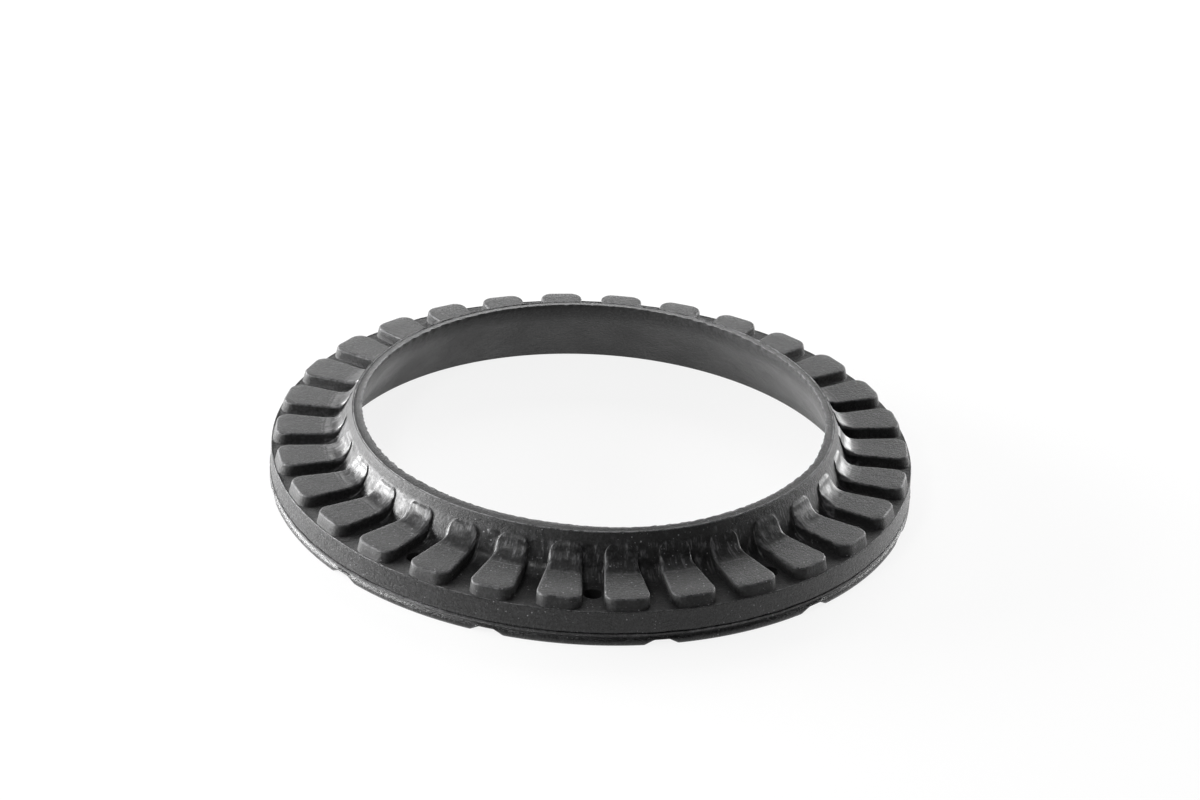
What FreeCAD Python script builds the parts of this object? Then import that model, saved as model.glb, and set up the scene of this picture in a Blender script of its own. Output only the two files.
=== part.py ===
import FreeCAD, Part
import math
import os

# Coil spring insulator: one moulded rubber ring with a collar that the coil's
# end slips over and a flange whose ribs carry the coil.
# All sizes are real sizes in millimetres. The origin is the centre of the
# underside and +Z points up, towards the collar's lip.

# Bore: a short straight land under the lip, then a cone that opens downwards
BORE_R = 57.5
BORE_LAND_H = 3.0
BORE_FLARE = 9.3

# Collar: the lip's width, how far its side leans out and its height above the floor
LIP_W = 2.3
COLLAR_SPREAD = 4.1
COLLAR_H = 10.2

# Flange: its width from the collar's foot and the height of its floor
FLANGE_W = 16.1
FLANGE_H = 9.2
FLOOR_FILLET_R = 5.0

# Outer wall: how far it stands in from the foot at the rim, above the parting
# groove and at the groove's bottom, and the heights of bead and groove
RIM_SETBACK = 0.4
WALL_SETBACK = 0.25
GROOVE_SETBACK = 0.7
BEAD_H = 2.8
GROOVE_LOWER_H = 0.4
GROOVE_UPPER_H = 0.5
FOOT_EDGE = 0.4

# Ribs, with parallel-sided channels between them. Each rib's sweep runs up the
# collar a little proud of it, and its nose ends in a short ramp.
RIB_COUNT = 30
CHANNEL_W = 5.2
RIB_H = 2.9
RIB_SWEEP_R = 5.5
RIB_NOSE_H = 7.1
RIB_NOSE_PROUD = 0.3
RIB_NOSE_RAMP_H = 0.5
RIB_END_GAP = 0.9
RIB_END_SLOPE_W = 0.4
RIB_CORNER_R = 2.8

# Round holes in the floor of some of the channels
CHANNELS_PER_HOLE = 3
HOLE_SIDE_GAP = 0.45
HOLE_FROM_RIM = 8.2

# Grooves in the underside, open at the foot of the outer wall
NOTCH_COUNT = 12
NOTCH_W = 8.2
NOTCH_H = 1.35
NOTCH_ROOF_W = 3.6
NOTCH_LEN = 4.8

# How far a piece that is added to the ring reaches into it, and how far under
# the collar's surface its upper end lies
BURIED = 1.0
END_SUNK = 0.2

# Where each pattern starts, seen from above and counted from +X
HOLE_START_DEG = -90.0
RIB_START_DEG = HOLE_START_DEG + 180.0 / RIB_COUNT
NOTCH_START_DEG = HOLE_START_DEG + 12.0

# Radii and heights that follow from the sizes above
HEIGHT = FLANGE_H + COLLAR_H
RIB_TOP_Z = FLANGE_H + RIB_H
LIP_R = BORE_R + LIP_W
COLLAR_FOOT_R = LIP_R + COLLAR_SPREAD
FOOT_R = COLLAR_FOOT_R + FLANGE_W
RIM_R = FOOT_R - RIM_SETBACK
RIB_END_FOOT_R = RIM_R - RIB_END_GAP
RIB_END_TOP_R = RIB_END_FOOT_R - RIB_END_SLOPE_W
HOLE_R = CHANNEL_W / 2 - HOLE_SIDE_GAP
HOLE_CIRCLE_R = RIM_R - HOLE_FROM_RIM
COLLAR_DRAFT = math.atan2(COLLAR_SPREAD, COLLAR_H)
HALF_PITCH = math.radians(180.0 / RIB_COUNT)

UP = FreeCAD.Vector(0, 0, 1)
AXIS = FreeCAD.Vector(0, 0, 0)


def point(r, z):
    """A point of the section, at radius r and height z."""
    return FreeCAD.Vector(r, 0, z)


def collar_r(z):
    """The radius of the collar's sloping side at height z."""
    return LIP_R + (HEIGHT - z) * math.tan(COLLAR_DRAFT)


def beside_collar(z, stand_off):
    """The point at height z that stands off the collar's side by stand_off."""
    return point(collar_r(z) + stand_off / math.cos(COLLAR_DRAFT), z)


def collar_fillet(circle_r, flat_z, stand_off):
    """The fillet of radius circle_r between a flat at flat_z and a line beside the collar's side.

    A straight run is as wide as the piece it belongs to, and the collar is round. So a fillet
    that should end on the collar takes a stand_off below zero, and its corners end there.
    Returns where it leaves the flat, its middle point and its upper end.
    """
    half = (math.radians(90.0) - COLLAR_DRAFT) / 2
    corner = beside_collar(flat_z, stand_off)
    reach = circle_r * math.tan(half)
    flat_end = corner + point(reach, 0)
    side_end = corner + point(-reach * math.sin(COLLAR_DRAFT), reach * math.cos(COLLAR_DRAFT))
    centre = flat_end + point(0, circle_r)
    middle = centre + point(-circle_r * math.sin(half), -circle_r * math.cos(half))
    return flat_end, middle, side_end


def section(steps):
    """A face through the steps: a point is a straight run to it, a pair is an arc by way of its first."""
    edges = []
    here = steps[0]
    for step in steps[1:] + steps[:1]:
        if isinstance(step, tuple):
            edges.append(Part.Arc(here, step[0], step[1]).toShape())
            here = step[1]
        else:
            edges.append(Part.LineSegment(here, step).toShape())
            here = step
    return Part.Face(Part.Wire(edges))


def ring_body():
    """The ring without ribs, fillets, holes and grooves, turned from its section."""
    groove_z = BEAD_H + GROOVE_LOWER_H
    turned = section([
        point(BORE_R + BORE_FLARE, 0),
        point(FOOT_R - FOOT_EDGE, 0),
        point(FOOT_R, FOOT_EDGE),
        point(FOOT_R, BEAD_H),
        point(FOOT_R - GROOVE_SETBACK, groove_z),
        point(FOOT_R - WALL_SETBACK, groove_z + GROOVE_UPPER_H),
        point(RIM_R, FLANGE_H),
        point(COLLAR_FOOT_R, FLANGE_H),
        point(LIP_R, HEIGHT),
        point(BORE_R, HEIGHT),
        point(BORE_R, HEIGHT - BORE_LAND_H),
    ])
    return turned.revolve(AXIS, UP, 360)


def across(side_view, width):
    """The side view, which lies along +X, made width wide."""
    side_view.translate(FreeCAD.Vector(0, -width / 2, 0))
    return side_view.extrude(FreeCAD.Vector(0, width, 0))


def rib_wedge():
    """The upright wedge between the sides of two channels, along +X."""
    def side(r):
        return (r * math.sin(HALF_PITCH) - CHANNEL_W / 2) / math.cos(HALF_PITCH)

    corners = [
        FreeCAD.Vector(LIP_R, -side(LIP_R), 0),
        FreeCAD.Vector(FOOT_R, -side(FOOT_R), 0),
        FreeCAD.Vector(FOOT_R, side(FOOT_R), 0),
        FreeCAD.Vector(LIP_R, side(LIP_R), 0),
    ]
    return Part.Face(Part.makePolygon(corners + corners[:1])).extrude(UP * HEIGHT)


def rib():
    """One rib along +X: flat on top, swept up the collar, its outer end sloped and rounded."""
    flat_end, middle, side_end = collar_fillet(RIB_SWEEP_R, RIB_TOP_Z, RIB_NOSE_PROUD)
    buried_z = FLANGE_H - BURIED
    nose_z = FLANGE_H + RIB_NOSE_H
    end_slope = RIB_END_SLOPE_W / RIB_H
    pitch_w = 2 * FOOT_R * math.tan(HALF_PITCH)
    side_view = section([
        beside_collar(buried_z, -BURIED),
        point(RIB_END_FOOT_R + end_slope * BURIED, buried_z),
        point(RIB_END_TOP_R, RIB_TOP_Z),
        flat_end,
        (middle, side_end),
        beside_collar(nose_z, RIB_NOSE_PROUD),
        beside_collar(nose_z + RIB_NOSE_RAMP_H, -END_SUNK),
    ])
    whole = rib_wedge().common(across(side_view, pitch_w)).Solids[0]
    end_corners = [edge for edge in whole.Edges
                   if edge.BoundBox.XMin > RIB_END_TOP_R - 0.1 and edge.BoundBox.ZLength > BURIED]
    return whole.makeFillet(RIB_CORNER_R, end_corners)


def channel_fillet():
    """The fillet at the inner end of one channel, along +X, its sides buried in the ribs."""
    flat_end, middle, side_end = collar_fillet(FLOOR_FILLET_R, FLANGE_H, -END_SUNK)
    buried_z = FLANGE_H - BURIED
    side_view = section([
        beside_collar(buried_z, -BURIED),
        point(flat_end.x, buried_z),
        flat_end,
        (middle, side_end),
        side_end + point(-BURIED, 0),
    ])
    return across(side_view, CHANNEL_W + BURIED)


def around(one, count, start_deg):
    """Copies of a piece that lies along +X, evenly spaced round the axis."""
    copies = []
    for index in range(count):
        copy = one.copy()
        copy.rotate(AXIS, UP, start_deg + 360.0 / count * index)
        copies.append(copy)
    return copies


def notch():
    """One cutter along +X for a groove end in the underside, with sloping sides and a flat roof."""
    inner_r = FOOT_R - NOTCH_LEN
    foot = NOTCH_W / 2
    roof = NOTCH_ROOF_W / 2
    below = -1.0
    corners = [
        FreeCAD.Vector(inner_r, -foot, below),
        FreeCAD.Vector(inner_r, -foot, 0),
        FreeCAD.Vector(inner_r, -roof, NOTCH_H),
        FreeCAD.Vector(inner_r, roof, NOTCH_H),
        FreeCAD.Vector(inner_r, foot, 0),
        FreeCAD.Vector(inner_r, foot, below),
    ]
    return Part.Face(Part.makePolygon(corners + corners[:1])).extrude(FreeCAD.Vector(NOTCH_LEN + 2.0, 0, 0))


def spring_insulator():
    """The finished one-piece ring."""
    hole = Part.makeCylinder(HOLE_R, HEIGHT, FreeCAD.Vector(HOLE_CIRCLE_R, 0, -1.0), UP)
    ribs = around(rib(), RIB_COUNT, RIB_START_DEG)
    fillets = around(channel_fillet(), RIB_COUNT, HOLE_START_DEG)
    holes = around(hole, RIB_COUNT // CHANNELS_PER_HOLE, HOLE_START_DEG)
    notches = around(notch(), NOTCH_COUNT, NOTCH_START_DEG)
    body = ring_body().multiFuse(ribs + fillets)
    return body.cut(Part.makeCompound(holes + notches)).removeSplitter().Solids[0]


os.makedirs("parts", exist_ok=True)
part = spring_insulator()
part.exportStep("parts/spring_insulator.step")
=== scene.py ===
import math
import bmesh
import bpy
import numpy as np
from mathutils import Matrix, Vector


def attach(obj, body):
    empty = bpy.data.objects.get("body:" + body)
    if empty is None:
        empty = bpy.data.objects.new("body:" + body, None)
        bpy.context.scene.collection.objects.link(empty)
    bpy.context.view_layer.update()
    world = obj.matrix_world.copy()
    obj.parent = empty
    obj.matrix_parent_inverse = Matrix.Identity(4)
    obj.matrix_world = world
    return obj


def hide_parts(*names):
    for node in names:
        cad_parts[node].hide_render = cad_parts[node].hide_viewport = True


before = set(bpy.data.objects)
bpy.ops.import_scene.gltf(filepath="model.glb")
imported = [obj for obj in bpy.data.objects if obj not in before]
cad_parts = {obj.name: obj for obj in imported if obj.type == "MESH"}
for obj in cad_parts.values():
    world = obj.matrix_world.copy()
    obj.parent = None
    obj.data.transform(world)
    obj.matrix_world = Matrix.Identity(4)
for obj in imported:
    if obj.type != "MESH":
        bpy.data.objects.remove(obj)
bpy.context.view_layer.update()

# All lengths are in metres. The ring stands on z = 0 with its axis on Z.
MM = 0.001

# Ring, as in the part's source
FOOT_R = 80.0 * MM
RIM_R = 79.6 * MM
WALL_R = 79.75 * MM
HEIGHT = 19.4 * MM
FLOOR_Z = 9.2 * MM
BORE_R = 57.5 * MM
BORE_LAND_Z = 16.4 * MM
BORE_FOOT_R = 66.8 * MM
LIP_R = 59.8 * MM
COLLAR_LEAN = 4.1 / 10.2
FLOOR_FILLET_R = 5.0 * MM
RIB_COUNT = 30
RIB_TOP_Z = 12.1 * MM
RIB_SWEEP_R = 5.5 * MM
HALF_CHANNEL = 2.6 * MM
HOLE_COUNT = 10
HOLE_R = 2.15 * MM
HOLE_CIRCLE_R = 71.4 * MM
NOTCH_COUNT = 12
NOTCH_HALF_W = 4.1 * MM
NOTCH_ROOF_HALF_W = 1.8 * MM
NOTCH_H = 1.35 * MM
NOTCH_INNER_R = 75.2 * MM
HOLE_START = math.radians(-90.0)
RIB_START = math.radians(-84.0)
NOTCH_START = math.radians(-78.0)

# Ribs' noses and outer ends, a little nearer to the photograph than in the part's source
RIB_NOSE_PROUD = 0.38 * MM
RIB_NOSE_Z = 15.7 * MM
RIB_NOSE_END_Z = 16.8 * MM
NOSE_CORNER_H = 2.3 * MM
NOSE_CORNER_W = 2.4 * MM
RIB_END_TOP_R = 78.5 * MM
RIB_END_FOOT_R = 79.2 * MM
RIB_CORNER_R = 2.9 * MM

# Rounded edges. A rib's upper edges grow rounder inwards, between ROUNDER_FROM_R and
# ROUNDEST_R, and where the rib is low its rounds keep to shares of its height.
EDGE_ROUND = 0.45 * MM
SWEEP_EDGE_ROUND = 1.3 * MM
ROUNDER_FROM_R = 66.5 * MM
ROUNDEST_R = 63.0 * MM
FOOT_ROUND = 0.35 * MM
END_FOOT_ROUND = 0.1 * MM
LARGEST_FOOT_SHARE = 0.35
LARGEST_EDGE_SHARE = 0.6
HOLE_EDGE = 0.12 * MM
BORE_BEND = 2.5 * MM

# Rim: a thin, uneven ridge along the channels' mouths, mostly lost beside the ribs' ends.
# Its rings are radius in mm and the shares of the ridge's height and of its paleness, which is painted
# highlight.
RIM_INNER_R = 79.4 * MM
RIM_RINGS = ((79.43, 0.5, 0.0), (79.48, 1.0, 1.0), (79.55, 0.8, 1.0))
RIM_EDGE_DROP = 0.06 * MM
RIM_RIDGE = 0.11 * MM
RIDGE_UNEVEN = 0.35
RIDGE_LOST = 0.8
RIDGE_HIGHLIGHT_LOST = 0.6
BESIDE_RIB_FROM = math.radians(3.6)
BESIDE_RIB_FULL = math.radians(2.2)

# Parting line, as rings of radius and height in mm and the shares of the torn
# flash's width and paleness that each takes
WALL_END_Z = 3.75 * MM
PARTING_RINGS = (
    (79.7, 3.64, 0.0, 0.0),
    (79.3, 3.56, 0.0, 0.0),
    (79.25, 3.42, 0.0, 0.0),
    (79.82, 3.32, 1.0, 1.0),
    (79.86, 3.06, 1.0, 1.0),
    (79.8, 2.8, 0.0, 0.3),
)
FLASH_W = 0.1 * MM
PARTING_WANDER = 0.07 * MM

# Groove, bead and foot, as rings of radius and height in mm; the bead bends up over the notches
GROOVE_RINGS = ((79.5, 2.58), (79.32, 2.34), (79.38, 2.05))
BEAD_TOP = 2.05
BEAD_RINGS = (
    (79.62, 1.82),
    (79.8, 1.5),
    (79.88, 1.1),
    (79.84, 0.72),
    (79.72, 0.42),
    (79.58, 0.2),
    (79.42, 0.06),
    (79.25, 0.0),
)
NOTCH_RINGS = (78.4 * MM, 77.0 * MM, NOTCH_INNER_R)
NOTCH_END_W = 0.01 * MM

# Lip: the collar's last ring, the mould's flash line and the hand-trimmed inner edge,
# as how far the edge stands out from the bore, in mm, at each azimuth in degrees
COLLAR_TOP_R = 59.98 * MM
COLLAR_TOP_Z = HEIGHT - (COLLAR_TOP_R - LIP_R) / COLLAR_LEAN
LIP_FLASH_R = 59.55 * MM
LIP_FLASH_Z = 19.12 * MM
LIP_FLASH_H = 0.12 * MM
LIP_FLASH_UNEVEN = 0.4
LIP_TRIM = (
    (-180, -0.18), (-160, -0.18), (-143, -0.12), (-137, -0.48), (-98, -0.51), (-91, -0.18),
    (-82, 0.12), (-65, 0.21), (-58, 0.0), (-34, 0.0), (-28, 0.24), (-22, 0.3),
    (-14, 0.0), (10, 0.06), (60, -0.06), (120, 0.06), (180, -0.18),
)

# How pale the marked rows are, beside the lip's flash line, which is 1; the flash is pale torn rubber, and
# the other marks carry painted highlight
# Rounded edges: wear and painted highlight
EDGE_WEAR_AND_HIGHLIGHT = 0.3
# Bend from a rib's flat to its sweep: painted highlight
BEND_HIGHLIGHT = 0.3
# Rim's ridge: painted highlight
RIM_HIGHLIGHT = 0.7
FLASH_WEAR = 0.08
TORN_FLASH_WEAR = 0.42

# Where the rubber's finish changes, each from none at the first place to full at the second
SWEEP_FLOOR = (FLOOR_Z - 0.05 * MM, FLOOR_Z + 0.1 * MM)
SWEEP_OUTER = (66.7 * MM, 66.2 * MM)
SWEEP_UPPER = (17.2 * MM, 16.2 * MM)
TOP_HEIGHT = (RIB_TOP_Z - 0.25 * MM, RIB_TOP_Z - 0.1 * MM)
TOP_INNER = (66.2 * MM, 66.7 * MM)
CHANNEL_UPPER = (FLOOR_Z + 1.6 * MM, FLOOR_Z + 0.8 * MM)
WALL_INNER = (79.2 * MM, 79.5 * MM)
BORE_OUTER = (BORE_FOOT_R + 1.4 * MM, BORE_FOOT_R + 0.9 * MM)
HOLE_OUTER = (HOLE_R + 0.5 * HOLE_EDGE, HOLE_R + 0.1 * HOLE_EDGE)
DUSTY_FRONT = (-25.0 * MM, -60.0 * MM)

# Rubber's textures, as waves a metre, detail and roughness of the noise
GRAIN = (1500.0, 4.0, 0.75)
CLOUD = (90.0, 4.0, 0.55)
MOTTLE = (420.0, 3.0, 0.55)
STREAK = (1300.0, 3.0, 0.6)
PATCHES = (600.0, 4.0, 0.65)
STREAK_SQUEEZE = 0.3
SPECKS_PER_METRE = 1000.0
SPECK_RADIUS = 0.27
SPECK_CORE = 0.55

# Between which values of its noise each effect goes from none to full
ROUGH_SPAN = (0.35, 0.65)
SWEEP_ROUGH_SPAN = (0.36, 0.64)
MOTTLE_SPAN = (0.3, 0.7)
GRAIN_SPAN = (0.35, 0.65)
HAZE_SPAN = (0.45, 0.75)
PORE_SPAN = (0.47, 0.66)
SCUFF_AND_HIGHLIGHT_STREAK_SPAN = (0.46, 0.7)
SCUFF_AND_HIGHLIGHT_MOTTLE_SPAN = (0.4, 0.6)
DUST_SPAN = (0.47, 0.64)
WEAR_AND_HIGHLIGHT_SPAN = (0.36, 0.58)

# Rubber's roughness in each zone, from its glossiest to its dullest spots
FLAT_ROUGH = (0.42, 0.68)
SWEEP_ROUGH = (0.31, 0.56)
WALL_ROUGH = (0.22, 0.28)
BORE_ROUGH = (0.34, 0.5)
CHANNEL_ROUGH = 0.66
HOLE_ROUGH = 0.9

# Rubber's base colour, on a scale from 0 to 1, and what is added to it or multiplies it
BASE_TONE = 0.0085
BLUE_SHARE = 1.03
MOTTLE_SHARES = (0.85, 1.15)
GRAIN_SHARES = (0.3, 2.2)
HAZE_TONE = 0.005
PORE_TONE = 0.008
TOP_PORE_TONE = 0.045
# Pale streaky mottling on the sweeps: scuffs and painted highlight
SCUFF_AND_HIGHLIGHT_TONE = 0.1
DUST_TONE = 0.25
# Paleness of the marked rows: wear, pale flash and painted highlights, in patches
WEAR_AND_HIGHLIGHT_TONE = 0.16
# The holes' walls are darkened to a tenth: painted shade, where little light reaches in
HOLE_PAINTED_SHADE = 0.1
TOP_DUST = 0.7

# Rubber's bump and sheen
BUMP_DEPTH = 0.12 * MM
NOISE_MIDDLE = 0.5
GRAIN_BUMP = 1.6
SWEEP_GRAIN_SHARE = 0.15
STREAK_BUMP = 0.35
WALL_STREAK_SHARE = 0.15
MOTTLE_BUMPS = (0.8, 1.2)
SPECULAR = 0.35
SHEEN = 0.22
SHEEN_ROUGH = 0.4

# Camera, fitted to the photograph; lens and sensor are in mm
LENS = 124.4
SENSOR = 36.0
CAMERA_DISTANCE = 1.028
CAMERA_AZIMUTH = math.radians(-91.7)
CAMERA_ELEVATION = math.radians(28.397)
CAMERA_ROLL = 0.054779
FOCAL_PX = 4147.0
RING_CENTRE_PX = (593.81, 410.28)
IMAGE_CENTRE_PX = (600.0, 400.0)

# Soft lamps as (name, azimuth and elevation in degrees, width, height, watts)
LAMP_DISTANCE = 0.75
LAMPS = (
    ("left", 168.0, 8.0, 0.85, 0.25, 28.0),
    ("right_back", 40.0, 10.0, 0.62, 0.28, 8.5),
    ("back", 92.0, 36.0, 0.56, 0.31, 2.5),
    ("overhead", 180.0, 78.0, 0.5, 0.5, 0.4),
    ("front_left", -124.0, 46.0, 0.14, 0.14, 1.2),
)
WORLD_STRENGTH = 0.07

# Floor, a hair under the ring
FLOOR_TONE = 0.93
FLOOR_ROUGH = 0.8
FLOOR_LIFT = 0.86
FLOOR_REACH = 3.0
FLOOR_DROP = 0.02 * MM

# How finely the mesh is divided
ABOVE_NOSE_STEPS = 5
NOSE_STEPS = 5
PAST_NOSE = 0.15 * MM
FLAT_END_R = 70.0 * MM
COLLAR_STEPS = 34
RIB_STEPS = 5
CORNER_STEPS = 7
MOUTH_STEPS = CORNER_STEPS // 2
END_STEPS = 2
HALF_END = CORNER_STEPS + END_STEPS
LAST_ROW = COLLAR_STEPS + RIB_STEPS - 1
FLOOR_SHARES = (0.0, 0.4, 0.75)
FOOT_TURNS = (0.0, 0.5, 1.0)
RIB_WALL_SHARES = (0.5,)
EDGE_TURNS = (0.0, 0.25, 0.5, 0.75, 1.0)
ROUND_LINES = len(EDGE_TURNS) - 2
OUTER_WALL_SHARES = (0.06, 0.3, 0.6, 0.85, 1.0)
BORE_BEND_STEPS = (0.05, 0.25, 0.6, 1.0, 1.5, 2.0)
BORE_SHARES = (0.3, 0.5, 0.7, 0.97)
BORE_STEPS = 600
HOLE_STEPS = 48
CUT_BELOW = 1.0 * MM
CUT_ABOVE = 0.2 * MM
FINE_STEP = 0.42 * MM
COARSE_STEP = 0.9 * MM
COARSE_FROM = math.radians(115.0)
FINE_UNTIL = math.radians(95.0)
SAME_PLACE = 0.001 * MM
SHARP_ANGLE = math.radians(48.0)

SECTOR = math.pi / RIB_COUNT
FULL_TURN = 2 * math.pi
BORE_SLOPE = (BORE_FOOT_R - BORE_R) / BORE_LAND_Z


def smooth(edge0, edge1, x):
    """A soft step from 0 at edge0 to 1 at edge1."""
    t = np.clip((x - edge0) / (edge1 - edge0), 0.0, 1.0)
    return t * t * (3.0 - 2.0 * t)


def ring_noise(angle, waves, seed):
    """Seeded noise round the ring, about -1 to 1, with about the given number of waves."""
    rng = np.random.default_rng(seed)
    total = np.zeros_like(angle)
    for octave in range(3):
        size = 0.5 ** octave
        for _ in range(3):
            count = max(1, round(waves * 2 ** octave * rng.uniform(0.7, 1.4)))
            total = total + size * np.sin(count * angle + rng.uniform(0.0, FULL_TURN))
    return total / 3.0


# Points here are (radius, angle, height) until they are turned into space.

def collar_runs(length):
    """Places to cut a line down the collar, closer together at the ribs' noses."""
    slope = math.hypot(1.0, COLLAR_LEAN)
    nose_start = (COLLAR_TOP_Z - RIB_NOSE_END_Z) * slope
    nose_end = (COLLAR_TOP_Z - RIB_NOSE_Z) * slope + PAST_NOSE
    left_over = COLLAR_STEPS - ABOVE_NOSE_STEPS - NOSE_STEPS
    above = np.linspace(0.0, nose_start, ABOVE_NOSE_STEPS)
    nose = np.linspace(nose_start, nose_end, NOSE_STEPS + 1)[1:]
    below = np.linspace(nose_end, length, left_over + 1)[1:]
    return np.concatenate([above, nose, below])


def side_profile(circle_r, flat_z, proud):
    """Radius and height down the collar, through a fillet and out along the flat."""
    draft = math.atan(COLLAR_LEAN)
    half = (math.pi / 2 - draft) / 2
    corner_r = LIP_R + (HEIGHT - flat_z) * COLLAR_LEAN + proud / math.cos(draft)
    reach = circle_r * math.tan(half)
    outward_step = np.array([math.cos(draft), math.sin(draft)])
    side_end = np.array([corner_r - reach * math.sin(draft), flat_z + reach * math.cos(draft)])
    flat_start = np.array([corner_r + reach, flat_z])
    top = np.array([COLLAR_TOP_R, COLLAR_TOP_Z])
    along = side_end - proud * outward_step - top
    centre = flat_start + np.array([0.0, circle_r])
    cone = np.hypot(*along)
    arc = circle_r * 2 * half
    flat = FLAT_END_R - flat_start[0]
    points = []
    for run in collar_runs(cone + arc + flat):
        if run < cone:
            place = top + along * run / cone
            stand = proud * float(smooth(RIB_NOSE_END_Z, RIB_NOSE_Z, place[1]))
            points.append(place + stand * outward_step)
        elif run < cone + arc:
            angle = math.pi + draft + (run - cone) / circle_r
            points.append(centre + circle_r * np.array([math.cos(angle), math.sin(angle)]))
        else:
            points.append(flat_start + np.array([run - cone - arc, 0.0]))
    return np.array(points)


def rib_levels(height, edge_round, foot_round):
    """Steps up a rib's side, as pairs: distance into the channel and height over the floor."""
    foot = np.minimum(foot_round, LARGEST_FOOT_SHARE * height)
    edge = np.minimum(edge_round, LARGEST_EDGE_SHARE * height)
    levels = []
    for turn in FOOT_TURNS:
        angle = turn * math.pi / 2
        levels.append((foot * (1 - math.sin(angle)), foot * (1 - math.cos(angle))))
    for share in RIB_WALL_SHARES:
        levels.append((np.zeros_like(foot), foot + (height - foot - edge) * share))
    for turn in EDGE_TURNS:
        angle = turn * math.pi / 2
        levels.append((-edge * (1 - math.cos(angle)), height - edge * (1 - math.sin(angle))))
    return levels


def end_outline(end_x, depth):
    """Radius and angle round the corner and along the end of a rib, as far as its middle."""
    inset = HALF_CHANNEL + RIB_CORNER_R
    run = (end_x - RIB_CORNER_R - inset * math.sin(SECTOR)) / math.cos(SECTOR)
    centre_x = end_x - RIB_CORNER_R
    centre_y = run * math.sin(SECTOR) - inset * math.cos(SECTOR)
    radius = RIB_CORNER_R + depth
    angles = np.linspace(math.pi / 2 + SECTOR, 0.0, CORNER_STEPS + 1)
    steps = np.linspace(1.0, 0.0, END_STEPS + 1)[1:]
    x = np.concatenate([centre_x + radius * np.cos(angles), np.full(END_STEPS, end_x + depth)])
    y = np.concatenate([centre_y + radius * np.sin(angles), centre_y * steps])
    return np.stack([np.hypot(x, y), np.arctan2(y, x)], 1)


def mouth_outline(foot):
    """Radius and angle from the rib's side to the rim and along it, one point for each of foot's."""
    outline = np.empty_like(foot)
    for index in range(len(foot)):
        out = min(1.0, index / MOUTH_STEPS)
        along_rim = max(0.0, (index - MOUTH_STEPS) / (HALF_END - MOUTH_STEPS))
        outline[index] = (foot[0, 0] + (RIM_INNER_R - foot[0, 0]) * out, SECTOR * (1 - along_rim))
    return outline


def straight_run(start, finish):
    """Points between two (radius, angle) points, in equal steps of a straight line."""
    steps = np.linspace(0.0, 1.0, RIB_STEPS + 1)[1:-1]
    x0, y0 = start[0] * math.cos(start[1]), start[0] * math.sin(start[1])
    x1, y1 = finish[0] * math.cos(finish[1]), finish[0] * math.sin(finish[1])
    x = x0 + (x1 - x0) * steps
    y = y0 + (y1 - y0) * steps
    return np.stack([np.hypot(x, y), np.arctan2(y, x)], 1)


def whole_line(side, side_z, outline, end_z):
    """One line down the collar, out along the rib and round its end."""
    run = straight_run(side[-1], outline[0])
    inner = np.column_stack([side, side_z])
    outer = np.vstack([run, outline])
    return np.vstack([inner, np.column_stack([outer, np.full(len(outer), end_z)])])


def half_sector():
    """Lines across half a sector, from the channel's middle to the edge of the rib's top."""
    low = side_profile(FLOOR_FILLET_R, FLOOR_Z, 0.0)
    high = side_profile(RIB_SWEEP_R, RIB_TOP_Z, RIB_NOSE_PROUD)
    rise = np.hypot(high[:, 0] - low[:, 0], high[:, 1] - low[:, 1])
    rise[rise < SAME_PLACE] = 0.0
    towards = smooth(ROUNDER_FROM_R, ROUNDEST_R, high[:, 0])
    edge_round = EDGE_ROUND + (SWEEP_EDGE_ROUND - EDGE_ROUND) * towards
    levels = rib_levels(rise, edge_round, FOOT_ROUND)
    up_nose = np.clip((high[:, 1] - (RIB_NOSE_END_Z - NOSE_CORNER_H)) / NOSE_CORNER_H, 0.0, 1.0)
    inset = NOSE_CORNER_W * (1 - np.sqrt(1 - up_nose ** 2))
    end_levels = rib_levels(RIB_TOP_Z - FLOOR_Z, EDGE_ROUND, END_FOOT_ROUND)
    foot_depth = levels[0][0]
    foot = end_outline(RIB_END_FOOT_R, end_levels[0][0])
    mouth = mouth_outline(foot)
    lines = []
    for share in FLOOR_SHARES:
        across = (HALF_CHANNEL - foot_depth + inset) * share
        side = np.stack([low[:, 0], SECTOR - np.arcsin(across / low[:, 0])], 1)
        lines.append(whole_line(side, low[:, 1], mouth + (foot - mouth) * share, FLOOR_Z))
    for (depth, height), (end_depth, end_height) in zip(levels, end_levels):
        share = np.where(rise > 0, height / np.maximum(rise, 1e-9), 0.0)
        r = low[:, 0] + (high[:, 0] - low[:, 0]) * share
        z = low[:, 1] + (high[:, 1] - low[:, 1]) * share
        side = np.stack([r, SECTOR - np.arcsin((HALF_CHANNEL - depth + inset) / r)], 1)
        lean = end_height / (RIB_TOP_Z - FLOOR_Z)
        end_x = RIB_END_FOOT_R + (RIB_END_TOP_R - RIB_END_FOOT_R) * lean
        lines.append(whole_line(side, z, end_outline(end_x, end_depth), FLOOR_Z + end_height))
    return np.array(lines)


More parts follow.
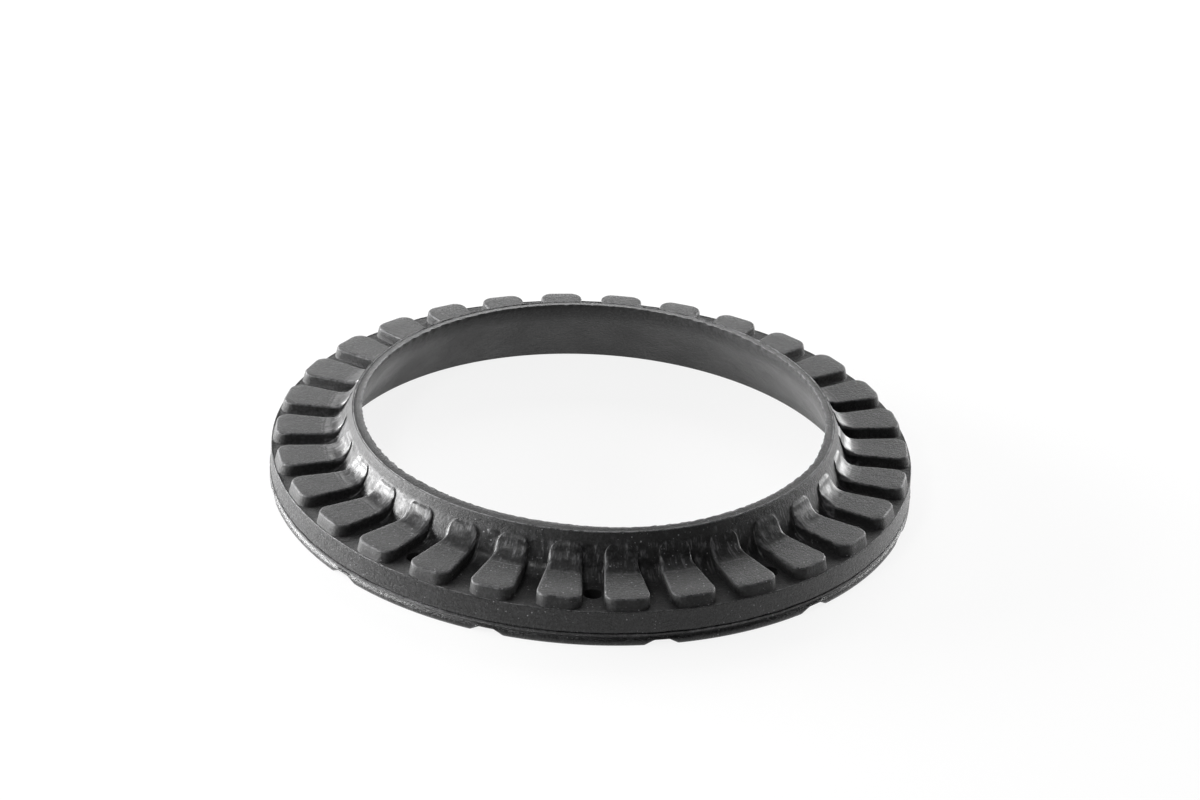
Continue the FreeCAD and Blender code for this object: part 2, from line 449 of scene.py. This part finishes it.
class Shape:
    """Collects the points and faces of one mesh."""

    def __init__(self):
        self.points = []
        self.wear_and_highlight = []
        self.faces = []
        self.count = 0

    def add(self, points, wear_and_highlight=0.0):
        """Adds points (radius, angle, height) and returns their numbers, in the same layout."""
        points = np.asarray(points, float)
        r, angle, z = points[..., 0], points[..., 1], points[..., 2]
        self.wear_and_highlight.append(np.broadcast_to(wear_and_highlight, r.shape).reshape(-1))
        self.points.append(np.stack([r * np.cos(angle), r * np.sin(angle), z], -1).reshape(-1, 3))
        first = self.count
        self.count += r.size
        return np.arange(first, self.count).reshape(r.shape)

    def grid(self, numbers, closed=False):
        """Joins a grid of numbers with quads; closed joins its last column to its first."""
        after = np.roll(numbers, -1, 1)
        columns = numbers.shape[1] if closed else numbers.shape[1] - 1
        quads = np.stack([numbers[:-1], after[:-1], after[1:], numbers[1:]], -1)[:, :columns]
        self.faces.extend(quads.reshape(-1, 4).tolist())

    def strip(self, first, second):
        """Joins two open rows of one length that may share their first and last points."""
        for step in range(len(first) - 1):
            corners = [first[step], first[step + 1], second[step + 1], second[step]]
            self.faces.append(list(dict.fromkeys(int(corner) for corner in corners)))

    def join_rings(self, first, first_angles, second, second_angles):
        """Joins two closed rings that have different counts; angles rise along both."""
        nearest = int(np.argmin(np.abs(np.sin((second_angles - first_angles[0]) / 2))))
        second = np.roll(second, -nearest)
        second_angles = np.roll(second_angles, -nearest)
        near = np.unwrap(np.append(first_angles, first_angles[0] + FULL_TURN))
        far = np.unwrap(np.append(second_angles, second_angles[0] + FULL_TURN))
        far = far - FULL_TURN * round((far[0] - near[0]) / FULL_TURN)
        a, b = 0, 0
        while a < len(first) or b < len(second):
            here = [int(first[a % len(first)]), int(second[b % len(second)])]
            if b >= len(second) or (a < len(first) and near[a + 1] <= far[b + 1]):
                a += 1
                here.append(int(first[a % len(first)]))
            else:
                b += 1
                here.append(int(second[b % len(second)]))
            self.faces.append(here)

    def mesh(self, name):
        """The finished mesh, with the paleness of its worn edges, its flash and its painted highlights as
        an attribute.
        """
        mesh = bpy.data.meshes.new(name)
        mesh.from_pydata(np.vstack(self.points).tolist(), [], self.faces)
        wear_and_highlight = mesh.attributes.new("wear_and_highlight", "FLOAT", "POINT")
        wear_and_highlight.data.foreach_set("value", np.concatenate(self.wear_and_highlight).astype(np.float32))
        mesh.update()
        return mesh


def turned(points, angle):
    """The same points, turned about the axis."""
    return points + np.array([0.0, angle, 0.0])


def mirrored(points):
    """The same points on the other side of the rib's middle."""
    return points * np.array([1.0, -1.0, 1.0])


def sector_rows(left, right):
    """A sector's points from the collar's top to the rib's end, in rows round the ring, and their
    paleness: wear and painted highlight on the rounded edges, painted highlight on the bend.
    """
    lines = len(left)
    edge = left[-1, :LAST_ROW + 1]
    shares = np.linspace(-1.0, 1.0, 2 * HALF_END + 1)[1:-1]
    top = np.stack([
        np.repeat(edge[:, :1], len(shares), 1),
        edge[:, 1:2] * shares,
        np.repeat(edge[:, 2:], len(shares), 1),
    ], -1)
    rows = np.concatenate([
        right[:, :LAST_ROW + 1].transpose(1, 0, 2),
        top,
        left[:0:-1, :LAST_ROW + 1].transpose(1, 0, 2),
    ], 1)
    far_edge = rows.shape[1] - lines + 1
    wear_and_highlight = np.zeros(rows.shape[:2])
    # Rounded edges are paler: wear and painted highlight
    wear_and_highlight[:, lines - 1 - ROUND_LINES:lines - 1] = EDGE_WEAR_AND_HIGHLIGHT
    wear_and_highlight[:, far_edge + 1:far_edge + 1 + ROUND_LINES] = EDGE_WEAR_AND_HIGHLIGHT
    # The bend from the flat to the sweep is paler: painted highlight
    bend = int(np.argmax(edge[:, 2] < RIB_TOP_Z + SAME_PLACE))
    wear_and_highlight[bend, lines - 1:far_edge + 1] = BEND_HIGHLIGHT
    return rows, wear_and_highlight


def add_upper_side(shape):
    """Adds collar, channels and ribs. Returns the collar's top ring and the rim's ring."""
    left = half_sector()
    right = mirrored(left)
    rows, wear_and_highlight = sector_rows(left, right)
    turns = [RIB_START + 2 * SECTOR * index for index in range(RIB_COUNT)]
    grid = np.concatenate([shape.add(turned(rows, turn), wear_and_highlight) for turn in turns], 1)
    shape.grid(grid, closed=True)

    lines = len(left)
    columns = rows.shape[1]
    mouth = right[0, LAST_ROW + 1:LAST_ROW + 1 + MOUTH_STEPS]
    mouths = [shape.add(turned(mouth, turn)) for turn in turns]
    around = np.concatenate([right[:, LAST_ROW + 1:], left[:, LAST_ROW + 1:-1][:, ::-1]], 1)
    at_rim = around[0, MOUTH_STEPS:-MOUTH_STEPS]
    # The rounded end edges are paler: wear and painted highlight
    end_wear_and_highlight = np.zeros((lines - 1, 1))
    end_wear_and_highlight[-1 - ROUND_LINES:-1] = EDGE_WEAR_AND_HIGHLIGHT
    rim = []
    for index, turn in enumerate(turns):
        first = index * columns
        numbers = np.empty((lines, 2 * HALF_END + 1), int)
        numbers[:, 0] = grid[LAST_ROW, first:first + lines]
        numbers[:, -1] = grid[LAST_ROW, (first + columns - np.arange(lines)) % grid.shape[1]]
        numbers[1:, 1:-1] = shape.add(turned(around[1:], turn), end_wear_and_highlight)
        numbers[0, 1:MOUTH_STEPS + 1] = mouths[index]
        numbers[0, -MOUTH_STEPS - 1:-1] = mouths[(index + 1) % RIB_COUNT][::-1]
        numbers[0, MOUTH_STEPS + 1:-MOUTH_STEPS - 1] = shape.add(turned(at_rim, turn))
        shape.grid(numbers)
        shape.strip(grid[LAST_ROW, first + lines - 1:first + lines + 2 * HALF_END], numbers[-1])
        rim.append(numbers[0, MOUTH_STEPS:-MOUTH_STEPS - 1])
    return grid[0], np.concatenate(rim)


def ring_angles(shape, numbers):
    """The angles of a ring of points."""
    points = np.vstack(shape.points)[numbers]
    return np.arctan2(points[:, 1], points[:, 0])


def add_rows(shape, first, rows, angles):
    """Adds rings outward from the ring first; each row is (radii, heights) and perhaps a paleness, for
    wear, flash and painted highlight.
    """
    rings = [first] if first is not None else []
    for r, z, *wear_and_highlight in rows:
        r = np.broadcast_to(r, angles.shape)
        z = np.broadcast_to(z, angles.shape)
        rings.append(shape.add(np.stack([r, angles, z], -1), *wear_and_highlight))
    shape.grid(np.array(rings), closed=True)
    return rings[-1]


def add_finer_rows(shape, inner, inner_angles, rows, angles):
    """Adds rows with angles of their own beyond the ring inner. Returns the last ring."""
    outer = add_rows(shape, None, rows, angles)
    first = outer - (len(rows) - 1) * len(angles)
    order = np.argsort(inner_angles)
    shape.join_rings(inner[order], inner_angles[order], first, angles)
    return outer


def notch_height(angles, r):
    """How high the underside's grooves reach at these angles, at radius r."""
    pitch = FULL_TURN / NOTCH_COUNT
    offset = (angles - NOTCH_START + pitch / 2) % pitch - pitch / 2
    across = np.abs(r * np.sin(offset))
    slope = (NOTCH_HALF_W - across) / (NOTCH_HALF_W - NOTCH_ROOF_HALF_W)
    return NOTCH_H * np.clip(slope, 0.0, 1.0)


def wall_angles():
    """Angles round the outer wall, closer together where the photograph shows it."""
    angles = [-math.pi]
    while angles[-1] < math.pi:
        here = angles[-1]
        seen = smooth(COARSE_FROM, FINE_UNTIL, abs(here - CAMERA_AZIMUTH))
        step = COARSE_STEP + (FINE_STEP - COARSE_STEP) * seen
        angles.append(here + step / FOOT_R)
    angles = np.array(angles[:-1])
    return -math.pi + (angles + math.pi) * FULL_TURN / (angles[-1] + math.pi + COARSE_STEP / FOOT_R)


def outer_wall_rows(angles):
    """The rows of the outer wall, the parting line, the bead, the foot and the underside's grooves."""
    flash = FLASH_W * (0.5 + 0.5 * ring_noise(angles, waves=110, seed=5))
    wander = PARTING_WANDER * ring_noise(angles, waves=45, seed=6)
    torn = FLASH_WEAR + TORN_FLASH_WEAR * smooth(0.0, 0.7, ring_noise(angles, waves=9, seed=8))
    notch = notch_height(angles, FOOT_R)
    rows = []
    for share in OUTER_WALL_SHARES:
        rows.append((RIM_R + (WALL_R - RIM_R) * share, FLOOR_Z + (WALL_END_Z - FLOOR_Z) * share))
    for r, z, flash_share, wear_and_highlight_share in PARTING_RINGS:
        rows.append((r * MM + flash * flash_share, z * MM + wander, torn * wear_and_highlight_share))
    for r, z in GROOVE_RINGS:
        rows.append((r * MM, z * MM))
    for r, z in BEAD_RINGS:
        rows.append((r * MM, notch + z / BEAD_TOP * (BEAD_TOP * MM - notch)))
    for r in NOTCH_RINGS:
        rows.append((r, notch_height(angles, r)))
    rows.append((NOTCH_INNER_R - NOTCH_END_W, 0.0))
    return rows


def rim_rows(angles):
    """The rows over the rim's ridge to the wall's upper edge."""
    offset = (angles - RIB_START + SECTOR) % (2 * SECTOR) - SECTOR
    at_rib = smooth(BESIDE_RIB_FROM, BESIDE_RIB_FULL, np.abs(offset))
    uneven = 1 + RIDGE_UNEVEN * ring_noise(angles, waves=60, seed=11)
    ridge = RIM_RIDGE * (1 - RIDGE_LOST * at_rib) * uneven
    # The ridge's pale line is painted highlight, weaker beside the ribs' ends
    wear_and_highlight = RIM_HIGHLIGHT * (1 - RIDGE_HIGHLIGHT_LOST * at_rib)
    rows = []
    for r, height_share, wear_and_highlight_share in RIM_RINGS:
        rows.append((r * MM, FLOOR_Z + ridge * height_share, wear_and_highlight * wear_and_highlight_share))
    rows.append((RIM_R, FLOOR_Z - RIM_EDGE_DROP))
    return rows


def add_outer_wall(shape, rim):
    """Adds the rim's edge and all below it. Returns the last ring and its angles."""
    coarse = ring_angles(shape, rim)
    edge = add_rows(shape, rim, rim_rows(coarse), coarse)
    angles = wall_angles()
    return add_finer_rows(shape, edge, coarse, outer_wall_rows(angles), angles), angles


def trimmed_edge(angles):
    """The radius of the lip's hand-trimmed, ragged inner edge, by angle."""
    azimuths, stands = np.array(LIP_TRIM).T
    ragged = 0.15 * ring_noise(angles, waves=80, seed=21) + 0.12 * ring_noise(angles, waves=210, seed=22)
    return BORE_R + (np.interp(angles, np.radians(azimuths), stands) + ragged) * MM


def bore_rows(angles):
    """The rows from the lip's top over its inner edge and down the bore to the underside.

    A parabola eases the bend between the bore's land and its cone, and the edge's waves
    fade out down the land.
    """
    edge = trimmed_edge(angles)
    rows = [
        (58.7 * MM, 19.2 * MM),
        (58.3 * MM + 0.3 * (edge - BORE_R), 19.28 * MM),
        # The trimmed edge's pale line is painted highlight
        (edge + 0.22 * MM, 19.36 * MM, 0.5),
        (edge + 0.06 * MM, 19.36 * MM, 1.0),
        (edge, 19.28 * MM),
        (edge + 0.04 * MM, 19.15 * MM),
    ]
    for drop in BORE_BEND_STEPS:
        eased = BORE_SLOPE * (drop * BORE_BEND) ** 2 / (4 * BORE_BEND)
        trimmed = (edge - BORE_R) * max(0.0, 0.6 - 2 * drop)
        rows.append((BORE_R + eased + trimmed, BORE_LAND_Z + BORE_BEND - drop * BORE_BEND))
    for share in BORE_SHARES:
        rows.append((BORE_R + (BORE_FOOT_R - BORE_R) * share, BORE_LAND_Z * (1 - share)))
    return rows + [
        (BORE_FOOT_R - 0.1 * MM, 0.1 * MM),
        (BORE_FOOT_R + 0.15 * MM, 0.0),
        (BORE_FOOT_R + 1.0 * MM, 0.0),
    ]


def add_lip_and_bore(shape, collar_top, foot_ring, foot_angles):
    """Adds the lip with its flash line, the trimmed inner edge, the bore and the underside."""
    coarse = ring_angles(shape, collar_top)
    uneven = 1 + LIP_FLASH_UNEVEN * ring_noise(coarse, waves=50, seed=31)
    flash_z = LIP_FLASH_Z + LIP_FLASH_H * uneven
    inner = add_rows(shape, collar_top, [
        (59.85 * MM, COLLAR_TOP_Z + 0.18 * MM),
        (59.68 * MM, 19.06 * MM, 0.4),
        (LIP_FLASH_R + 0.05 * MM, flash_z, 1.0),
        (LIP_FLASH_R - 0.05 * MM, flash_z, 1.0),
        (LIP_FLASH_R - 0.14 * MM, 19.1 * MM, 0.6),
        (LIP_FLASH_R - 0.4 * MM, 19.12 * MM),
    ], coarse)
    angles = np.linspace(-math.pi, math.pi, BORE_STEPS, endpoint=False)
    outer = add_finer_rows(shape, inner, coarse, bore_rows(angles), angles)
    shape.join_rings(outer, angles, foot_ring, foot_angles)


def hole_cutter():
    """All ten round holes as one mesh, each with a slightly eased upper edge."""
    shape = Shape()
    angles = np.linspace(0.0, FULL_TURN, HOLE_STEPS, endpoint=False)
    profile = [
        (HOLE_R, -CUT_BELOW),
        (HOLE_R, FLOOR_Z - HOLE_EDGE),
        (HOLE_R + 0.3 * HOLE_EDGE, FLOOR_Z - 0.4 * HOLE_EDGE),
        (HOLE_R + HOLE_EDGE, FLOOR_Z + 0.01 * MM),
        (HOLE_R + HOLE_EDGE, FLOOR_Z + CUT_ABOVE),
    ]
    for index in range(HOLE_COUNT):
        turn = HOLE_START + FULL_TURN / HOLE_COUNT * index
        middle = np.array([HOLE_CIRCLE_R * math.cos(turn), HOLE_CIRCLE_R * math.sin(turn)])
        rings = []
        for r, z in profile:
            x = middle[0] + r * np.cos(angles)
            y = middle[1] + r * np.sin(angles)
            ring = np.stack([np.hypot(x, y), np.arctan2(y, x), np.full(HOLE_STEPS, z)], -1)
            rings.append(shape.add(ring))
        shape.grid(np.array(rings), closed=True)
        shape.faces.append(rings[0][::-1].tolist())
        shape.faces.append(rings[-1].tolist())
    return shape.mesh("hole_cutter")


def outward(mesh):
    """Joins points that lie in one place and turns all faces of a closed mesh outward."""
    work = bmesh.new()
    work.from_mesh(mesh)
    bmesh.ops.remove_doubles(work, verts=work.verts, dist=SAME_PLACE)
    bmesh.ops.recalc_face_normals(work, faces=work.faces)
    work.to_mesh(mesh)
    work.free()


def placed(name, data):
    """A new object in the scene, of this mesh, lamp or camera."""
    item = bpy.data.objects.new(name, data)
    bpy.context.scene.collection.objects.link(item)
    return item


def insulator():
    """The ring as one object, with its holes cut."""
    shape = Shape()
    collar_top, rim = add_upper_side(shape)
    foot_ring, foot_angles = add_outer_wall(shape, rim)
    add_lip_and_bore(shape, collar_top, foot_ring, foot_angles)
    mesh = shape.mesh("insulator")
    outward(mesh)
    ring = placed("insulator", mesh)
    cutter_mesh = hole_cutter()
    outward(cutter_mesh)
    cutter = placed("hole_cutter", cutter_mesh)
    cut = ring.modifiers.new("holes", "BOOLEAN")
    cut.operation = "DIFFERENCE"
    cut.solver = "EXACT"
    cut.object = cutter
    bpy.context.view_layer.update()
    graph = bpy.context.evaluated_depsgraph_get()
    finished = bpy.data.meshes.new_from_object(ring.evaluated_get(graph))
    ring.modifiers.clear()
    ring.data = finished
    bpy.data.objects.remove(cutter)
    finished.shade_smooth()
    finished.set_sharp_from_angle(angle=SHARP_ANGLE)
    return ring


class Surface:
    """A small helper that adds shader nodes and joins them."""

    def __init__(self, name):
        self.material = bpy.data.materials.new(name)
        self.material.use_nodes = True
        self.nodes = self.material.node_tree.nodes
        self.links = self.material.node_tree.links
        self.shader = self.nodes["Principled BSDF"]

    def put(self, node, name, value):
        """Sets one input of a node, by link or by value."""
        if isinstance(value, bpy.types.NodeSocket):
            self.links.new(value, node.inputs[name])
        else:
            node.inputs[name].default_value = value

    def math(self, operation, first, second=0.0):
        """One Math node; returns its value."""
        node = self.nodes.new("ShaderNodeMath")
        node.operation = operation
        self.put(node, 0, first)
        self.put(node, 1, second)
        return node.outputs[0]

    def plus(self, first, second):
        """The sum of two values."""
        return self.math("ADD", first, second)

    def minus(self, first, second):
        """The first value less the second."""
        return self.math("SUBTRACT", first, second)

    def times(self, first, second):
        """The product of two values."""
        return self.math("MULTIPLY", first, second)

    def length(self, first, second):
        """The length of a step of first and second at right angles."""
        return self.math("SQRT", self.plus(self.times(first, first), self.times(second, second)))

    def mix(self, share, first, second):
        """The first value where share is 0, the second where it is 1."""
        return self.plus(first, self.times(self.minus(second, first), share))

    def wrapped(self, value, reach):
        """The value, moved by whole double reaches to within plus or minus one reach."""
        result = self.math("WRAP", value, reach)
        result.node.inputs[2].default_value = -reach
        return result

    def step(self, value, low, high):
        """A soft step from 0 at low to 1 at high."""
        node = self.nodes.new("ShaderNodeMapRange")
        node.interpolation_type = "SMOOTHSTEP"
        self.put(node, "Value", value)
        self.put(node, "From Min", low)
        self.put(node, "From Max", high)
        return node.outputs["Result"]

    def scaled(self, value, low, high, new_low, new_high):
        """The value carried from one range to another and held there."""
        node = self.nodes.new("ShaderNodeMapRange")
        self.put(node, "Value", value)
        self.put(node, "From Min", low)
        self.put(node, "From Max", high)
        self.put(node, "To Min", new_low)
        self.put(node, "To Max", new_high)
        return node.outputs["Result"]

    def noise(self, vector, per_metre, detail, roughness):
        """Noise with the given number of waves a metre."""
        node = self.nodes.new("ShaderNodeTexNoise")
        self.put(node, "Vector", vector)
        self.put(node, "Scale", per_metre)
        self.put(node, "Detail", detail)
        self.put(node, "Roughness", roughness)
        return node.outputs["Fac"]

    def specks(self, vector, per_metre, radius):
        """Small round specks, 1 inside and 0 outside, each of its own size."""
        node = self.nodes.new("ShaderNodeTexVoronoi")
        self.put(node, "Vector", vector)
        self.put(node, "Scale", per_metre)
        own = self.nodes.new("ShaderNodeSeparateColor")
        self.put(own, 0, node.outputs["Color"])
        size = self.times(own.outputs[0], radius)
        return self.step(node.outputs["Distance"], size, self.times(size, SPECK_CORE))

    def combine(self, x, y, z):
        """A vector of three values."""
        node = self.nodes.new("ShaderNodeCombineXYZ")
        self.put(node, 0, x)
        self.put(node, 1, y)
        self.put(node, 2, z)
        return node.outputs[0]


class Places:
    """Radius and angle on the ring, and the zones of its finish, each as a value from 0 to 1."""

    def __init__(self, surface, x, y, z):
        self.radius = surface.length(x, y)
        self.angle = surface.math("ARCTAN2", y, x)
        # The radius at which the bore's slope, drawn from here, meets the underside
        foot_r = surface.plus(self.radius, surface.times(z, BORE_SLOPE))
        self.bore = surface.step(foot_r, *BORE_OUTER)
        self.wall = surface.step(self.radius, *WALL_INNER)
        self.channel = surface.step(z, *CHANNEL_UPPER)
        self.front = surface.step(y, *DUSTY_FRONT)
        self.sweep = self.on_sweeps(surface, z)
        self.top = surface.times(surface.step(z, *TOP_HEIGHT), surface.step(self.radius, *TOP_INNER))
        self.hole = self.in_holes(surface)

    def on_sweeps(self, surface, z):
        """The ribs' sweeps and the channels' fillets, up to the plain collar."""
        above_floor = surface.step(z, *SWEEP_FLOOR)
        inner = surface.step(self.radius, *SWEEP_OUTER)
        off_collar = surface.step(z, *SWEEP_UPPER)
        sweep = surface.times(surface.times(above_floor, inner), off_collar)
        return surface.times(sweep, surface.minus(1.0, self.bore))

    def in_holes(self, surface):
        """The walls of the round holes, by the distance from the nearest hole's axis."""
        turn = surface.wrapped(surface.minus(self.angle, HOLE_START), math.pi / HOLE_COUNT)
        beside = surface.times(self.radius, surface.math("SINE", turn))
        along = surface.times(self.radius, surface.math("COSINE", turn))
        distance = surface.length(beside, surface.minus(along, HOLE_CIRCLE_R))
        return surface.step(distance, *HOLE_OUTER)


class Textures:
    """The noises that the rubber's roughness, colour and bump share."""

    def __init__(self, surface, place, angle, z):
        round_x = surface.times(surface.math("COSINE", angle), FOOT_R)
        round_y = surface.times(surface.math("SINE", angle), FOOT_R)
        upright = surface.combine(round_x, round_y, surface.times(z, STREAK_SQUEEZE))
        self.grain = surface.noise(place, *GRAIN)
        self.cloud = surface.noise(place, *CLOUD)
        self.mottle = surface.noise(place, *MOTTLE)
        self.streak = surface.noise(upright, *STREAK)
        self.patches = surface.noise(place, *PATCHES)
        self.specks = surface.specks(place, SPECKS_PER_METRE, SPECK_RADIUS)


def rubber_roughness(surface, places, textures):
    """Roughness: dull sand-blasted flats, glossier sweeps, wall and bore."""
    flat = surface.scaled(textures.grain, *ROUGH_SPAN, *FLAT_ROUGH)
    sweep = surface.scaled(textures.mottle, *SWEEP_ROUGH_SPAN, *SWEEP_ROUGH)
    wall = surface.scaled(textures.streak, *ROUGH_SPAN, *WALL_ROUGH)
    bore = surface.scaled(textures.cloud, *ROUGH_SPAN, *BORE_ROUGH)
    rough = surface.mix(places.channel, flat, CHANNEL_ROUGH)
    rough = surface.mix(places.sweep, rough, sweep)
    rough = surface.mix(places.wall, rough, wall)
    rough = surface.mix(places.bore, rough, bore)
    return surface.mix(places.hole, rough, HOLE_ROUGH)


def rubber_colour(surface, places, textures):
    """Colour: near black with haze, pores, dust, pale flash, edges paler with wear and painted highlight,
    sweeps paler with scuffs and painted highlight, and painted shade in the holes.
    """
    mottled = surface.scaled(textures.mottle, *MOTTLE_SPAN, *MOTTLE_SHARES)
    grained = surface.scaled(textures.grain, *GRAIN_SPAN, *GRAIN_SHARES)
    shade = surface.times(surface.times(mottled, grained), BASE_TONE)
    haze = surface.times(surface.step(textures.cloud, *HAZE_SPAN), HAZE_TONE)
    pore_tone = surface.scaled(places.top, 0.0, 1.0, PORE_TONE, TOP_PORE_TONE)
    pores = surface.times(surface.step(textures.grain, *PORE_SPAN), pore_tone)
    # The sweeps' pale streaks stand for scuffs and painted highlight
    scuff_and_highlight_mask = surface.times(
        surface.step(textures.streak, *SCUFF_AND_HIGHLIGHT_STREAK_SPAN),
        surface.step(textures.mottle, *SCUFF_AND_HIGHLIGHT_MOTTLE_SPAN),
    )
    scuffs_and_highlights = surface.times(surface.times(scuff_and_highlight_mask, places.sweep), SCUFF_AND_HIGHLIGHT_TONE)
    dusty = surface.math(
        "MAXIMUM",
        surface.step(textures.cloud, *DUST_SPAN),
        surface.times(places.top, TOP_DUST),
    )
    dust = surface.times(textures.specks, surface.times(dusty, places.front))
    # The paleness attribute: wear, pale flash and painted highlights, in patches
    wear_and_highlight_node = surface.nodes.new("ShaderNodeAttribute")
    wear_and_highlight_node.attribute_name = "wear_and_highlight"
    wear_and_highlight = surface.times(wear_and_highlight_node.outputs["Fac"], surface.step(textures.patches, *WEAR_AND_HIGHLIGHT_SPAN))
    added = (haze, pores, scuffs_and_highlights, surface.times(dust, DUST_TONE), surface.times(wear_and_highlight, WEAR_AND_HIGHLIGHT_TONE))
    for tone in added:
        shade = surface.plus(shade, tone)
    # Painted shade: the holes' walls are darkened
    shade = surface.times(shade, surface.scaled(places.hole, 0.0, 1.0, 1.0, HOLE_PAINTED_SHADE))
    return surface.combine(shade, shade, surface.times(shade, BLUE_SHARE))


def rubber_bump(surface, places, textures):
    """Bump: grain on the flats, upright streaks on sweeps and wall, and a soft mottle."""
    grain = surface.minus(textures.grain, NOISE_MIDDLE)
    streak = surface.minus(textures.streak, NOISE_MIDDLE)
    mottle = surface.minus(textures.mottle, NOISE_MIDDLE)
    grain = surface.times(grain, surface.scaled(places.sweep, 0.0, 1.0, 1.0, SWEEP_GRAIN_SHARE))
    streaked = surface.math("MAXIMUM", places.sweep, surface.times(places.wall, WALL_STREAK_SHARE))
    streak = surface.times(streak, streaked)
    mottle = surface.times(mottle, surface.scaled(places.sweep, 0.0, 1.0, *MOTTLE_BUMPS))
    height = surface.plus(surface.times(grain, GRAIN_BUMP), surface.times(streak, STREAK_BUMP))
    bump = surface.nodes.new("ShaderNodeBump")
    surface.put(bump, "Height", surface.plus(height, mottle))
    bump.inputs["Distance"].default_value = BUMP_DEPTH
    bump.inputs["Strength"].default_value = 1.0
    return bump.outputs[0]


def rubber():
    """Black moulded rubber, with the finish that the mould and handling left on each zone, and with
    painted highlight and painted shade in its colour.
    """
    surface = Surface("rubber")
    place = surface.nodes.new("ShaderNodeTexCoord").outputs["Object"]
    split = surface.nodes.new("ShaderNodeSeparateXYZ")
    surface.put(split, 0, place)
    x, y, z = split.outputs
    places = Places(surface, x, y, z)
    textures = Textures(surface, place, places.angle, z)
    shader = surface.shader
    surface.put(shader, "Roughness", rubber_roughness(surface, places, textures))
    surface.put(shader, "Base Color", rubber_colour(surface, places, textures))
    surface.put(shader, "Normal", rubber_bump(surface, places, textures))
    shader.inputs["Specular IOR Level"].default_value = SPECULAR
    shader.inputs["Sheen Weight"].default_value = SHEEN
    shader.inputs["Sheen Roughness"].default_value = SHEEN_ROUGH
    return surface.material


def aim_camera():
    """The camera, where the photograph was taken from."""
    back = np.array([
        math.cos(CAMERA_ELEVATION) * math.cos(CAMERA_AZIMUTH),
        math.cos(CAMERA_ELEVATION) * math.sin(CAMERA_AZIMUTH),
        math.sin(CAMERA_ELEVATION),
    ])
    level = np.array([-math.sin(CAMERA_AZIMUTH), math.cos(CAMERA_AZIMUTH), 0.0])
    above = np.cross(back, level)
    right = math.cos(CAMERA_ROLL) * level + math.sin(CAMERA_ROLL) * above
    up = -math.sin(CAMERA_ROLL) * level + math.cos(CAMERA_ROLL) * above
    turn = Matrix((right, up, back)).transposed()
    aside = (RING_CENTRE_PX[0] - IMAGE_CENTRE_PX[0]) / FOCAL_PX
    below = -(RING_CENTRE_PX[1] - IMAGE_CENTRE_PX[1]) / FOCAL_PX
    aim = Vector((aside, below, -1.0)).normalized()
    swing = Vector((0.0, 0.0, -1.0)).rotation_difference(aim).to_matrix()
    data = bpy.data.cameras.new("camera")
    data.lens = LENS
    data.sensor_width = SENSOR
    data.clip_start = 0.01
    camera = placed("camera", data)
    place = Vector(back) * CAMERA_DISTANCE + Vector((0.0, 0.0, HEIGHT))
    camera.matrix_world = Matrix.Translation(place) @ (turn @ swing.transposed()).to_4x4()
    bpy.context.scene.camera = camera


def soft_lamp(name, azimuth, elevation, width, height, power):
    """A soft lamp that faces the ring."""
    data = bpy.data.lights.new(name, "AREA")
    data.shape = "RECTANGLE"
    data.size = width
    data.size_y = height
    data.energy = power
    lamp = placed(name, data)
    towards = Vector((
        math.cos(elevation) * math.cos(azimuth),
        math.cos(elevation) * math.sin(azimuth),
        math.sin(elevation),
    ))
    lamp.location = towards * LAMP_DISTANCE
    lamp.rotation_euler = towards.to_track_quat("Z", "Y").to_euler()


def floor_material():
    """Pale floor that the camera and reflections see mostly as plain white; it keeps the shadow."""
    surface = Surface("floor")
    surface.shader.inputs["Base Color"].default_value = (FLOOR_TONE, FLOOR_TONE, FLOOR_TONE, 1.0)
    surface.shader.inputs["Roughness"].default_value = FLOOR_ROUGH
    path = surface.nodes.new("ShaderNodeLightPath")
    seen = surface.math("MAXIMUM", path.outputs["Is Camera Ray"], path.outputs["Is Glossy Ray"])
    seen = surface.math("MAXIMUM", seen, path.outputs["Is Transmission Ray"])
    white = surface.nodes.new("ShaderNodeEmission")
    white.inputs["Strength"].default_value = 1.0
    mix = surface.nodes.new("ShaderNodeMixShader")
    surface.put(mix, 0, surface.times(seen, FLOOR_LIFT))
    surface.put(mix, 1, surface.shader.outputs[0])
    surface.put(mix, 2, white.outputs[0])
    surface.put(surface.nodes["Material Output"], "Surface", mix.outputs[0])
    return surface.material


def studio():
    """Pale floor, soft lamps and a white surround. Returns the floor."""
    mesh = bpy.data.meshes.new("floor")
    reach = FLOOR_REACH
    corners = [(-reach, -reach, 0), (reach, -reach, 0), (reach, reach, 0), (-reach, reach, 0)]
    mesh.from_pydata(corners, [], [(0, 1, 2, 3)])
    mesh.materials.append(floor_material())
    floor = placed("floor", mesh)
    floor.location.z = -FLOOR_DROP
    for name, azimuth, elevation, width, height, power in LAMPS:
        soft_lamp(name, math.radians(azimuth), math.radians(elevation), width, height, power)
    world = bpy.data.worlds.new("world")
    world.use_nodes = True
    background = world.node_tree.nodes["Background"]
    background.inputs["Color"].default_value = (1.0, 1.0, 1.0, 1.0)
    background.inputs["Strength"].default_value = WORLD_STRENGTH
    bpy.context.scene.world = world
    bpy.context.scene.view_settings.view_transform = "Standard"
    return floor


ring = insulator()
ring.data.materials.clear()
ring.data.materials.append(rubber())
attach(ring, "root")
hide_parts("spring_insulator")
floor = studio()
aim_camera()
